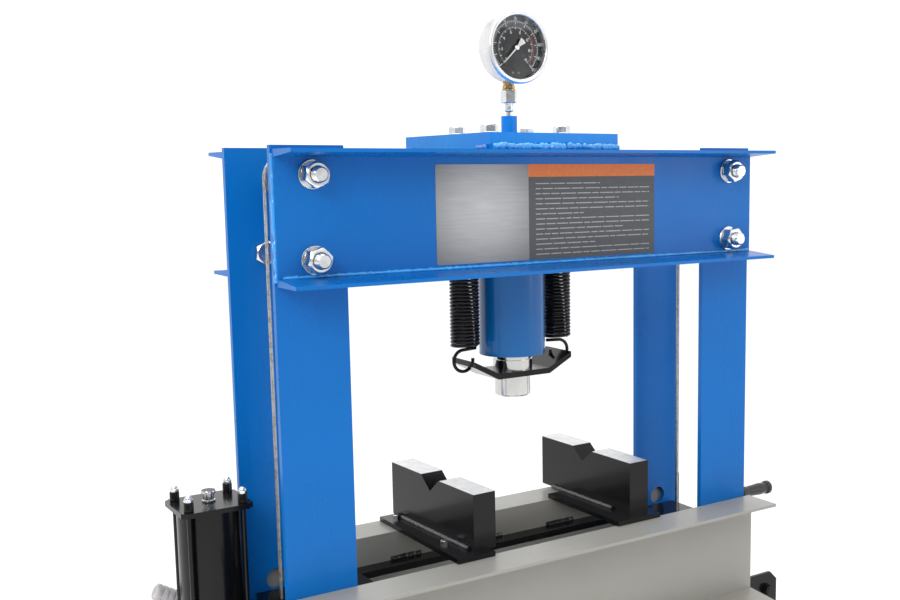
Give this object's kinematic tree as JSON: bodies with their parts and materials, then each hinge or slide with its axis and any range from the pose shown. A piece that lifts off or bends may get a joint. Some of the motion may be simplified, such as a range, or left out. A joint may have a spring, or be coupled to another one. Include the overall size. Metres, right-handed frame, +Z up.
{
  "type": "hydraulic shop press",
  "caption": "Floor standing hydraulic shop press with a fixed cylinder under the beam, a pressure gauge, a winch lifted bed, V blocks and an air driven pump.",
  "frame": {"origin": "on the floor under the ram axis, centred between the four floor bolt holes", "axes": "+Z up along the ram axis, +X to the right as seen by the operator, +Y to the rear"},
  "size_m": [1.3269, 0.76, 2.0369],
  "materials": {
    "blue_paint": "gloss",
    "bed_paint": "satin",
    "black_paint": "gloss",
    "zinc_plate": "satin",
    "chrome_plate": "polished",
    "machined_steel": "satin",
    "wire_rope": "satin",
    "brass": "satin",
    "seal_rubber": "matte",
    "grip_rubber": "matte",
    "black_plastic": "gloss",
    "dial_face": "matte",
    "white_plastic": "matte",
    "label_film": "satin",
    "clear_glass": "clear"
  },
  "bodies": {
    "press_frame": {"upright_front_left": "blue_paint", "upright_front_right": "blue_paint", "upright_rear_left": "blue_paint", "upright_rear_right": "blue_paint", "beam_channel_front": "blue_paint", "beam_channel_rear": "blue_paint", "top_plate": "blue_paint", "beam_bolts": "zinc_plate", "beam_nuts": "zinc_plate", "top_plate_screws": "zinc_plate", "foot_left": "blue_paint", "foot_right": "blue_paint", "frame_ties": "blue_paint", "label_panel": "label_film", "cylinder_barrel": "blue_paint", "cylinder_gland": "machined_steel", "rod_seal": "seal_rubber", "gauge_adapter": "zinc_plate", "gauge_stem": "brass", "gauge_case": "chrome_plate", "gauge_dial": "dial_face", "gauge_window": "clear_glass", "spring_anchor_rods": "blue_paint", "upper_spring_hooks": "black_paint", "spring_left": "black_paint", "spring_right": "black_paint", "pressure_pipe": "machined_steel", "sheave_axles": "zinc_plate", "rope_runs": "wire_rope", "rope_falls": "wire_rope", "winch_bracket": "black_paint", "pump_bracket": "black_paint", "pump_tank": "black_paint", "pump_head": "black_paint", "air_motor_barrel": "black_paint", "air_motor_plates": "black_paint", "tie_rods": "zinc_plate"},
    "ram": {"ram": "chrome_plate", "piston_seal": "seal_rubber", "ram_foot": "chrome_plate", "spring_yoke": "black_paint", "lower_spring_hooks": "black_paint"},
    "bed": {"bed_channel_front": "bed_paint", "bed_channel_rear": "bed_paint", "bed_tie_plates": "black_paint", "rope_stops": "zinc_plate"},
    "vblock_left": {"vblock_left": "black_paint"},
    "vblock_right": {"vblock_right": "black_paint"},
    "bed_pin_left": {"bed_pin_left": "zinc_plate"},
    "bed_pin_right": {"bed_pin_right": "zinc_plate"},
    "gauge_needle": {"gauge_needle": "white_plastic"},
    "sheave_left": {"sheave_left": "machined_steel"},
    "sheave_right": {"sheave_right": "machined_steel"},
    "winch_drum": {"winch_drum": "machined_steel", "rope_wraps": "wire_rope"},
    "winch_crank": {"winch_crank": "black_paint"},
    "crank_grip": {"crank_grip": "black_plastic"},
    "pump_lever": {"pump_lever": "black_paint", "lever_grip": "grip_rubber"},
    "release_knob": {"release_knob": "black_plastic"}
  },
  "joints": [
    {"name": "ram_stroke", "type": "slide", "parent": "press_frame", "child": "ram", "axis": [0, 0, -1], "range_m": [0, 0.095], "stiffness_N_per_m": 3000, "springref_m": -0.1, "deforming": ["spring_left", "spring_right"]},
    {"name": "bed_lift", "type": "slide", "parent": "press_frame", "child": "bed", "axis": [0, 0, 1], "range_m": [0, 0.09], "deforming": ["rope_falls"]},
    {"name": "vblock_left_slide", "type": "slide", "parent": "bed", "child": "vblock_left", "axis": [-1, 0, 0], "range_m": [0, 0.14]},
    {"name": "vblock_right_slide", "type": "slide", "parent": "bed", "child": "vblock_right", "axis": [1, 0, 0], "range_m": [0, 0.09]},
    {"name": "bed_pin_left_pull", "type": "slide", "parent": "press_frame", "child": "bed_pin_left", "axis": [0, -1, 0], "range_m": [0, 0.4]},
    {"name": "bed_pin_right_pull", "type": "slide", "parent": "press_frame", "child": "bed_pin_right", "axis": [0, -1, 0], "range_m": [0, 0.4]},
    {"name": "gauge_needle_turn", "type": "hinge", "parent": "press_frame", "child": "gauge_needle", "pos_m": [0, -0.035, 1.9754], "axis": [0, 1, 0], "range_deg": [0, 270], "stiffness_Nm_per_rad": 0.01, "springref_deg": -11.46},
    {"name": "sheave_left_spin", "type": "hinge", "parent": "press_frame", "child": "sheave_left", "pos_m": [-0.396, 0.046, 1.758], "axis": [0, 1, 0], "range_deg": [0, 157]},
    {"name": "sheave_right_spin", "type": "hinge", "parent": "press_frame", "child": "sheave_right", "pos_m": [0.458, 0.04, 1.751], "axis": [0, 1, 0], "range_deg": [0, 130]},
    {"name": "drum_spin", "type": "hinge", "parent": "press_frame", "child": "winch_drum", "pos_m": [0.531, 0, 0.85], "axis": [0, 1, 0], "range_deg": [-157, 0]},
    {"name": "crank_turn", "type": "hinge", "parent": "press_frame", "child": "winch_crank", "pos_m": [0.6, 0.057, 0.908], "axis": [1, 0, 0], "range_deg": [0, 1570]},
    {"name": "crank_grip_spin", "type": "hinge", "parent": "winch_crank", "child": "crank_grip", "pos_m": [0.66, 0.057, 1.064], "axis": [1, 0, 0], "continuous": true},
    {"name": "pump_lever_swing", "type": "hinge", "parent": "press_frame", "child": "pump_lever", "pos_m": [-0.505, 0.122, 0.975], "axis": [0, -1, 0], "range_deg": [0, 30], "stiffness_Nm_per_rad": 1.5, "springref_deg": -45.84},
    {"name": "release_knob_turn", "type": "hinge", "parent": "press_frame", "child": "release_knob", "pos_m": [-0.5375, -0.005, 0.97], "axis": [0, 1, 0], "range_deg": [0, 180]}
  ],
  "couplings": [
    {"joint": "sheave_left_spin", "follows": "bed_lift", "rad_per_m": 30.303},
    {"joint": "sheave_right_spin", "follows": "bed_lift", "rad_per_m": 25},
    {"joint": "drum_spin", "follows": "bed_lift", "rad_per_m": -30.303},
    {"joint": "crank_turn", "follows": "bed_lift", "rad_per_m": 303.03}
  ]
}
